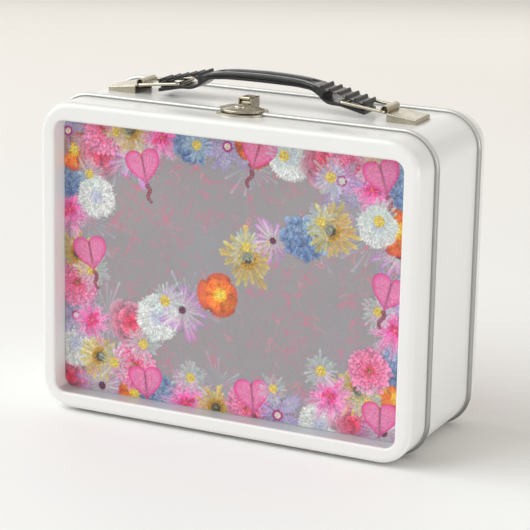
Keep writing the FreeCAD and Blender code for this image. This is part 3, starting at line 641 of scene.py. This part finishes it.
def enamel(name, colour, worn, painted_reflection_mask=None):
    """Gloss paint on pressed sheet: faint orange peel, a clouded colour and small rubbed specks.

    The last argument makes the mask of a surface painted grey: a painted reflection of the grey print above
    it and painted shade of the recess.
    """
    mat, tree, bsdf = new_material(name)
    cloud = spread(tree, noise(tree, 60), 0, 1, 0, 1)
    base = mix(tree, cloud, colour, tuple(c - 5 for c in colour))
    specks = spread(tree, noise(tree, 1.5, detail=3), 0, 0.05, 0.72, 0.86)
    base = mix(tree, specks, base, worn)
    # Painted reflection and shade: the recess's lower wall is painted grey.
    if painted_reflection_mask is not None:
        base = mix(tree, painted_reflection_mask(tree), base, LEDGE_PAINTED_REFLECTION_GREY)
    tree.links.new(base, bsdf.inputs["Base Color"])
    tree.links.new(spread(tree, noise(tree, 30), 0.27, 0.31, 0, 1), bsdf.inputs["Roughness"])
    bsdf.inputs["Coat Weight"].default_value = 0.25
    bsdf.inputs["Coat Roughness"].default_value = 0.12
    bump(tree, bsdf, [(noise(tree, 1.0, detail=1), 0.0003)])
    return mat


def metal(name, light, dark, roughness, brushed, painted_side_reflection=None):
    """Plated metal: clouded tone, uneven polish, fine drawn marks and dull spots.

    brushed stretches the marks along each axis; the optional side colour is painted where the metal faces
    sideways, a painted reflection of darker surroundings, with the light colours on top.
    """
    mat, tree, bsdf = new_material(name)
    bsdf.inputs["Metallic"].default_value = 1.0
    tone = spread(tree, noise(tree, 9, detail=1), 0, 1, 0.1, 0.9)
    base = mix(tree, tone, light, dark)
    spots = spread(tree, noise(tree, 1.4, detail=2), 0, 0.15, 0.7, 0.85)
    base = mix(tree, spots, base, tuple(c * 0.62 for c in dark))
    # Painted reflection: darker where the metal faces sideways, lighter where it faces up.
    if painted_side_reflection is not None:
        base = mix(tree, facing_up(tree, -0.2, 0.5), painted_side_reflection, base)
    tree.links.new(base, bsdf.inputs["Base Color"])
    polish = noise(tree, 4, detail=1)
    tree.links.new(spread(tree, polish, roughness - 0.05, roughness + 0.06), bsdf.inputs["Roughness"])
    marks = noise(tree, 0.35, brushed, 2)
    bump(tree, bsdf, [(noise(tree, 6, detail=0), 0.003), (marks, 0.0002)])
    return mat


def plastic(name, colour, rubbed):
    """Moulded black plastic: satin, with a fine grain and random patches rubbed a little greyer."""
    mat, tree, bsdf = new_material(name)
    tone = spread(tree, noise(tree, 7), 0, 1)
    base = mix(tree, tone, colour, rubbed)
    scuffs = spread(tree, noise(tree, 1.2, (1, 5, 3), 6), 0, 0.5, 0.64, 0.8)
    base = mix(tree, scuffs, base, tuple(c + 30 for c in rubbed))
    tree.links.new(base, bsdf.inputs["Base Color"])
    tree.links.new(spread(tree, noise(tree, 3), 0.26, 0.4), bsdf.inputs["Roughness"])
    bsdf.inputs["Coat Weight"].default_value = 0.35
    bsdf.inputs["Specular IOR Level"].default_value = 0.35
    bsdf.inputs["Coat Roughness"].default_value = 0.13
    bump(tree, bsdf, [(noise(tree, 0.45), 0.006), (noise(tree, 3, detail=2), 0.012)])
    return mat


def print_material():
    """Ink under clear lacquer: the painted colours, faint grain in the ink, uneven gloss."""
    mat, tree, bsdf = new_material("floral_print_lacquered")
    ink = tree.nodes.new("ShaderNodeAttribute")
    ink.attribute_name = "print"
    grain = spread(tree, noise(tree, 0.6, detail=6), 0, 0.05)
    base = mix(tree, grain, ink.outputs["Color"], (190, 188, 190))
    cloud = spread(tree, noise(tree, 25), 0, 0.05)
    base = mix(tree, cloud, base, (110, 106, 110))
    tree.links.new(base, bsdf.inputs["Base Color"])
    tree.links.new(spread(tree, noise(tree, 6), 0.34, 0.48), bsdf.inputs["Roughness"])
    bump(tree, bsdf, [(noise(tree, 1.8), 0.006), (noise(tree, 0.3), 0.002)])
    return mat


# ---------------------------------------------------------------- handle

def height_at(points, x):
    """A smooth curve through (x, height) points, at each x."""
    px, pz = np.array(points, dtype=float).T
    slope = np.gradient(pz, px)
    k = np.clip(np.searchsorted(px, x) - 1, 0, len(px) - 2)
    span = px[k + 1] - px[k]
    t = np.clip((x - px[k]) / span, 0, 1)
    start = (2 * t ** 3 - 3 * t ** 2 + 1) * pz[k] + (t ** 3 - 2 * t ** 2 + t) * span * slope[k]
    return start + (3 * t ** 2 - 2 * t ** 3) * pz[k + 1] + (t ** 3 - t ** 2) * span * slope[k + 1]


def ribbing(x):
    """How far a rib stands up at each x, from 0 to 1."""
    nearest = np.clip(np.round((x - RIB_FIRST) / RIB_PITCH), 0, RIBS - 1)
    off = (x - RIB_FIRST - nearest * RIB_PITCH) / RIB_HALF_L
    return np.sqrt(np.maximum(1 - off ** 2, 0))


def half_width(x):
    """The handle's half width at each x: a narrow grip, a flare, and jaws with round corners."""
    t = np.clip((x - FLARE[0]) / (FLARE[1] - FLARE[0]), 0, 1)
    wide = GRIP_HALF_W + (JAW_HALF_W - GRIP_HALF_W) * (3 * t ** 2 - 2 * t ** 3)
    past = np.clip(x - (JAW_END - JAW_ROUND), 0, JAW_ROUND)
    return wide - JAW_ROUND + np.sqrt(JAW_ROUND ** 2 - past ** 2)


def section(half_w, low, high, round_r, channel, waist):
    """One cross-section as (y, z) points: rounded corners, a shallow channel on top and waisted sides."""
    r = min(round_r, half_w * 0.9, (high - low) * 0.45)
    points = []
    in_w = half_w - r
    corners = ((in_w, high - r, 0), (-in_w, high - r, 1), (-in_w, low + r, 2), (in_w, low + r, 3))
    for number, (cy, cz, quarter) in enumerate(corners):
        for step in range(6):
            angle = math.pi / 2 * (quarter + step / 5)
            points.append((cy + r * math.cos(angle), cz + r * math.sin(angle)))
        if number == 0:
            for share in (0.9, 0.62, 0.54, 0.46, 0, -0.46, -0.54, -0.62, -0.9):
                deep = channel * min(max((0.62 - abs(share)) / 0.14, 0), 1)
                points.append((share * (half_w - r), high - deep))
        if number in (1, 3):
            side = -1 if number == 1 else 1
            for share in (0.75, 0.6, 0.4, 0.25):
                level = share if number == 1 else 1 - share
                deep = waist if 0.3 < share < 0.7 else 0
                points.append((side * (half_w - deep), low + r + (high - low - 2 * r) * level))
    return points


def loft(verts, faces, xs, sections, origin):
    """Adds a closed skin through the cross-sections to verts and faces."""
    first = len(verts)
    ring = len(sections[0])
    for x, outline in zip(xs, sections):
        verts.extend((x * MM, origin[1] + y * MM, origin[2] + z * MM) for y, z in outline)
    for station in range(len(xs) - 1):
        a = first + station * ring
        for k in range(ring):
            after = (k + 1) % ring
            faces.append((a + k, a + after, a + ring + after, a + ring + k))
    faces.append(tuple(first + k for k in reversed(range(ring))))
    faces.append(tuple(first + (len(xs) - 1) * ring + k for k in range(ring)))


def grip_skin(verts, faces, origin):
    """The grip and both ribbed upper jaws, in one skin."""
    xs = np.linspace(-JAW_END, JAW_END, GRIP_STATIONS)
    far = np.abs(xs)
    rib = ribbing(far)
    jaw = np.clip((far - JAW_START) / 3, 0, 1)
    tops = height_at(HANDLE_TOP, far) - JAW_SINK * jaw + RIB_PROUD * rib
    unders = np.where(far < SLOT_X, height_at(GRIP_UNDER, far), height_at(JAW_UNDER, far))
    widths = half_width(far) - JAW_NARROWING * jaw * (1 - rib)
    edges = GRIP_EDGE_R - JAW_EDGE_SHARPER * jaw
    channels = np.clip((CHANNEL_END - far) / FADE, 0, 1) * CHANNEL
    waists = np.clip((WAIST_END - far) / FADE, 0, 1) * WAIST
    sections = [section(*values) for values in zip(widths, unders, tops, edges, channels, waists)]
    loft(verts, faces, xs, sections, origin)


def lower_jaw(verts, faces, origin, side):
    """The plain lower jaw at one end, and the stop that keeps the wire in the slot."""
    xs = side * np.linspace(LOWER_JAW_TOP[0][0], LOWER_JAW_TOP[-1][0], JAW_STATIONS)
    xs = np.sort(xs)
    far = np.abs(xs)
    levels = zip(half_width(far), height_at(LOWER_JAW_UNDER, far), height_at(LOWER_JAW_TOP, far))
    sections = [section(*level, SMALL_EDGE_R, 0, 0) for level in levels]
    loft(verts, faces, xs, sections, origin)
    xs = side * STOP_X + np.linspace(-STOP_HALF_L, STOP_HALF_L, 3)
    stop = section(STOP_HALF_W, *STOP_LEVELS, STOP_EDGE_R, 0, 0)
    loft(verts, faces, xs, [stop] * len(xs), origin)


def smooth_piece(name, verts, faces, crease, finish):
    """A new smooth-shaded piece, sharp where it turns by more than crease degrees."""
    mesh = bpy.data.meshes.new(name)
    mesh.from_pydata(verts, [], faces)
    mesh.shade_smooth()
    mesh.set_sharp_from_angle(angle=math.radians(crease))
    mesh.materials.append(finish)
    piece = bpy.data.objects.new(name, mesh)
    bpy.context.scene.collection.objects.link(piece)
    return piece


def handle(finish):
    """The moulded handle: grip and ribbed upper jaws in one skin, a lower jaw and a stop at each end."""
    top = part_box("body_band")[1][2]
    origin = (0, HANDLE_Y * MM, top)
    verts = []
    faces = []
    grip_skin(verts, faces, origin)
    for side in (-1, 1):
        lower_jaw(verts, faces, origin, side)
    grip = smooth_piece("moulded_handle", verts, faces, HANDLE_CREASE, finish)
    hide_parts("handle_grip")
    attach(grip, "handle")


# ---------------------------------------------------------------- latch cap

def ring_faces(faces, first, ring, rings, out):
    """Joins rings of points into a closed skin with flat ends; out is True where the rings run outward."""
    for level in range(rings - 1):
        for step in range(ring):
            a = first + level * ring + step
            b = first + level * ring + (step + 1) % ring
            faces.append((a, b, b + ring, a + ring) if out else (a, a + ring, b + ring, b))
    near = [first + step for step in range(ring)]
    away = [first + (rings - 1) * ring + step for step in range(ring)]
    faces.append(tuple(reversed(near)) if out else tuple(near))
    faces.append(tuple(away) if out else tuple(reversed(away)))


def raised_boss(verts, faces, centre):
    """The round pressed boss on top of the cap."""
    first = len(verts)
    shoulder = CAP_RISE - BOSS_SHOULDER
    profile = [(BOSS_R, CAP_RISE - BOSS_ROOT), (BOSS_R, shoulder)]
    for step in range(1, 10):
        angle = math.pi / 2 * step / 9.4
        profile.append((BOSS_R * math.cos(angle), shoulder + BOSS_RISE * math.sin(angle)))
    for radius, height in profile:
        for step in range(LATHE_TURNS):
            angle = 2 * math.pi * step / LATHE_TURNS
            across = centre[0] + radius * MM * math.cos(angle)
            deep = centre[1] + radius * MM * math.sin(angle)
            verts.append((across, deep, centre[2] + height * MM))
    ring_faces(faces, first, LATHE_TURNS, len(profile), True)


def rolled_rim(verts, faces, centre):
    """The rolled wire round the cap's curved edge."""
    first = len(verts)
    reach = math.degrees(math.asin(CAP_TIP / CAP_R))
    for number in range(RIM_STATIONS + 1):
        angle = math.radians(-90 - reach + 2 * reach * number / RIM_STATIONS)
        for step in range(RIM_RING):
            around = 2 * math.pi * step / RIM_RING
            radius = (CAP_R - WIRE_INSET + CAP_WIRE_R * math.cos(around)) * MM
            height = (CAP_RIM + CAP_WIRE_R * math.sin(around)) * MM
            across = centre[0] + radius * math.cos(angle)
            verts.append((across, centre[1] + radius * math.sin(angle), centre[2] + height))
    ring_faces(faces, first, RIM_RING, RIM_STATIONS + 1, False)


def latch_cap(finish):
    """The pressed boss on the latch's cap and the rolled wire round the cap's edge."""
    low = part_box("latch_lever")[0]
    verts = []
    faces = []
    raised_boss(verts, faces, (0, low[1] + BOSS_BACK * MM, low[2]))
    rolled_rim(verts, faces, (0, low[1] + CAP_R * MM, low[2]))
    boss = smooth_piece("latch_cap_boss", verts, faces, CAP_CREASE, finish)
    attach(boss, "latch_lever")


# ---------------------------------------------------------------- scene

def camera():
    """The camera, turned about the object and rolled a little."""
    az = math.radians(CAMERA_AZIMUTH)
    el = math.radians(CAMERA_ELEVATION)
    roll = math.radians(CAMERA_ROLL)
    back = Vector((math.sin(az) * math.cos(el), -math.cos(az) * math.cos(el), math.sin(el)))
    right = Vector((0, 0, 1)).cross(back).normalized()
    up = back.cross(right)
    right_r = right * math.cos(roll) + up * math.sin(roll)
    up_r = up * math.cos(roll) - right * math.sin(roll)
    data = bpy.data.cameras.new("camera")
    data.lens = CAMERA_LENS
    data.sensor_width = SENSOR
    cam = bpy.data.objects.new("camera", data)
    bpy.context.scene.collection.objects.link(cam)
    pose = Matrix((right_r, up_r, back)).transposed().to_4x4()
    pose.translation = Vector(CAMERA_PLACE) * MM
    cam.matrix_world = pose
    bpy.context.scene.camera = cam


def area_light(name, place, target, size, power, colour):
    """A rectangular lamp at a place, in metres, aimed at a target."""
    data = bpy.data.lights.new(name, "AREA")
    data.shape = "RECTANGLE"
    data.size, data.size_y = size
    data.energy = power
    data.color = colour
    lamp = bpy.data.objects.new(name, data)
    bpy.context.scene.collection.objects.link(lamp)
    lamp.location = place
    lamp.rotation_euler = (Vector(target) - Vector(place)).to_track_quat("-Z", "Y").to_euler()


def pale_floor():
    """A pale floor whose colour turns a little darker and warmer behind the object: painted shade of the
    light falling off towards the back.
    """
    bpy.ops.mesh.primitive_plane_add(size=FLOOR_SIZE)
    floor = bpy.context.object
    floor.name = "floor"
    mat, tree, bsdf = new_material("floor")
    coords = tree.nodes.new("ShaderNodeTexCoord")
    parts = tree.nodes.new("ShaderNodeSeparateXYZ")
    tree.links.new(coords.outputs["Object"], parts.inputs["Vector"])
    # Painted shade: the floor's colour darkens towards the back.
    away = spread(tree, parts.outputs["Y"], 0, 1, *FLOOR_PAINTED_SHADE_FADE)
    near = mix(tree, spread(tree, noise(tree, 300), 0, 1), *FLOOR_NEAR)
    tree.links.new(mix(tree, away, near, FLOOR_FAR_PAINTED_SHADE), bsdf.inputs["Base Color"])
    tree.links.new(spread(tree, noise(tree, 60), 0.6, 0.7), bsdf.inputs["Roughness"])
    floor.data.materials.append(mat)


def studio():
    """The floor, one broad soft key light, three fills and an even surround."""
    pale_floor()
    key = bpy.data.lights.new("key", "SUN")
    key.energy = KEY_STRENGTH
    key.angle = math.radians(KEY_SPREAD)
    key.color = KEY_COLOUR
    lamp = bpy.data.objects.new("key", key)
    bpy.context.scene.collection.objects.link(lamp)
    lamp.rotation_euler = Vector(KEY_DIRECTION).to_track_quat("-Z", "Y").to_euler()
    for lamp_facts in LAMPS:
        area_light(*lamp_facts)
    world = bpy.data.worlds.new("studio")
    bpy.context.scene.world = world
    world.use_nodes = True
    background = world.node_tree.nodes["Background"]
    background.inputs["Color"].default_value = SURROUND_COLOUR
    background.inputs["Strength"].default_value = SURROUND_STRENGTH
    bpy.context.scene.view_settings.view_transform = "Standard"


def product(tree, first, second):
    """Two values multiplied."""
    node = tree.nodes.new("ShaderNodeMath")
    node.operation = "MULTIPLY"
    tree.links.new(first, node.inputs[0])
    tree.links.new(second, node.inputs[1])
    return node.outputs[0]


def between(tree, value, low, high, soft):
    """1 where a value lies between low and high, with soft edges."""
    up = spread(tree, value, 0, 1, low - soft, low + soft)
    down = spread(tree, value, 1, 0, high - soft, high + soft)
    return product(tree, up, down)


def painted_ledge_reflection(tree):
    """1 on the upward side of the front recess's lower wall, where grey is painted as the reflection of the
    grey print and the shade of the recess.
    """
    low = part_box("front_print_panel")[0]
    coords = tree.nodes.new("ShaderNodeTexCoord")
    parts = tree.nodes.new("ShaderNodeSeparateXYZ")
    tree.links.new(coords.outputs["Object"], parts.inputs["Vector"])
    upright = between(tree, parts.outputs["Z"], low[2] - 7 * MM, low[2] + 1.5 * MM, 0.4 * MM)
    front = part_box("front_lid")[0][1]
    deep = between(tree, parts.outputs["Y"], front + 1.7 * MM, low[1] + 1 * MM, 0.3 * MM)
    return product(tree, product(tree, upright, deep), facing_up(tree, 0.1, 0.4))


def dress():
    """Gives every CAD node the finish of its material slot, and returns the nickel."""
    white = enamel("white_gloss_enamel", ENAMEL, ENAMEL_WORN)
    # The lid's enamel carries the painted reflection and shade on the recess's lower wall.
    lid_white_painted_ledge = enamel("white_gloss_enamel_lid_painted_ledge", ENAMEL, ENAMEL_WORN, painted_ledge_reflection)
    # The bead is painted darker on its sides and lighter on top, as a painted reflection.
    bead = metal("tin_bead_painted_sides", (226, 225, 222), (214, 213, 209), 0.42, (0.05, 1, 1), painted_side_reflection=(136, 136, 133))
    bead.node_tree.nodes["Principled BSDF"].inputs["Metallic"].default_value = 0.55
    nickel = metal("nickel_plate", (206, 198, 182), (176, 168, 150), 0.27, (1, 6, 1))
    by_slot = {"white_enamel": white, "bare_rim": bead, "nickel_plate": nickel}
    for name, obj in NODES.items():
        for place in obj.material_slots:
            held = place.material.name.split(".")[0] if place.material else ""
            for slot, mat in by_slot.items():
                if slot in held:
                    place.material = lid_white_painted_ledge if name == "front_lid" else mat
    return nickel


camera()
studio()
panel_low, panel_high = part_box("front_print_panel")
width = (panel_high[0] - panel_low[0]) / MM
height = (panel_high[2] - panel_low[2]) / MM
lacquer = print_material()
front_print = paint(width, height, PRINT_STEP, FRONT_SEED)
rear_print = paint(width, height, PRINT_STEP, REAR_SEED)
printed_panel("front_printed_panel", "front_print_panel", "lid", front_print, True, lacquer)
printed_panel("rear_printed_panel", "rear_print_panel", "case", rear_print, False, lacquer)
handle(plastic("black_plastic_moulded", (30, 30, 31), (42, 42, 43)))
latch_cap(dress())
